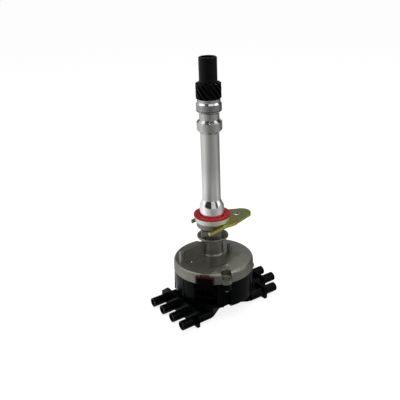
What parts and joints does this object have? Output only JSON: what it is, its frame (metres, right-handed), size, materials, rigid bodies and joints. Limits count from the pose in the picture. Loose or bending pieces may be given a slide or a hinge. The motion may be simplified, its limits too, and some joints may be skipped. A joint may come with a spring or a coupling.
{
  "type": "ignition distributor",
  "caption": "Ignition distributor with a flat moulded cap, side plug towers, cast housing, helical drive gear, sealed connector and a loose fork clamp.",
  "frame": {"origin": "on the shaft axis in the plane of the seat, the gasket face that meets the engine", "axes": "+Z along the shaft towards the drive gear, +X along the longer row of towers, -Y towards the front ear"},
  "size_m": [0.1749, 0.1225, 0.3367],
  "materials": {
    "cast_aluminium": "blasted casting, turned nose and collar",
    "bushing_bronze": "sintered bronze",
    "red_rubber": "satin moulded red",
    "grommet_rubber": "matt dark red",
    "black_rubber": "matt",
    "cap_plastic": "satin black moulding",
    "pickup_plastic": "black moulding",
    "sensor_plastic": "moulded chip package",
    "magnet": "pressed",
    "tinned_brass": "tinned",
    "bright_steel": "zinc plated",
    "yellow_zinc": "yellow passivated zinc",
    "shaft_steel": "ground",
    "black_oxide": "black oxide, oiled",
    "terminal_aluminium": "bright",
    "blade_brass": "stamped",
    "rotor_plastic": "moulded black",
    "carbon": "pressed carbon"
  },
  "bodies": {
    "body": {"housing": "cast_aluminium", "collar_gasket": "red_rubber", "upper_bushing": "bushing_bronze", "lower_bushing": "bushing_bronze", "shaft_seal": "black_rubber", "pickup_module": "pickup_plastic", "hall_sensor": "sensor_plastic", "pickup_magnet": "magnet", "connector_pins": "tinned_brass", "connector_seal": "grommet_rubber", "pickup_screws": "bright_steel", "thrust_washers": "bright_steel", "cap": "cap_plastic", "cap_screws": "yellow_zinc", "cap_inserts": "blade_brass", "plug_terminals": "terminal_aluminium", "coil_terminal": "terminal_aluminium", "brush_spring": "bright_steel"},
    "rotating_group": {"drive_shaft": "shaft_steel", "drive_gear": "black_oxide", "gear_pin": "bright_steel", "shutter_wheel": "bright_steel", "rotor": "rotor_plastic", "rotor_blade": "blade_brass", "rotor_screws": "bright_steel"},
    "brush": {"carbon_brush": "carbon"},
    "clamp": {"hold_down_clamp": "yellow_zinc"}
  },
  "joints": [
    {"name": "shaft_spin", "type": "hinge", "parent": "body", "child": "rotating_group", "pos_m": [0, 0, 0], "axis": [0, 0, 1], "continuous": true},
    {"name": "brush_slide", "type": "slide", "parent": "body", "child": "brush", "axis": [0, 0, -1], "range_m": [0, 0.002], "stiffness_N_per_m": 120, "springref_m": -0.004, "deforming": ["brush_spring"]},
    {"name": "clamp_swing", "type": "hinge", "parent": "body", "child": "clamp", "pos_m": [0, 0, -0.0122], "axis": [0, 0, 1], "continuous": true}
  ]
}
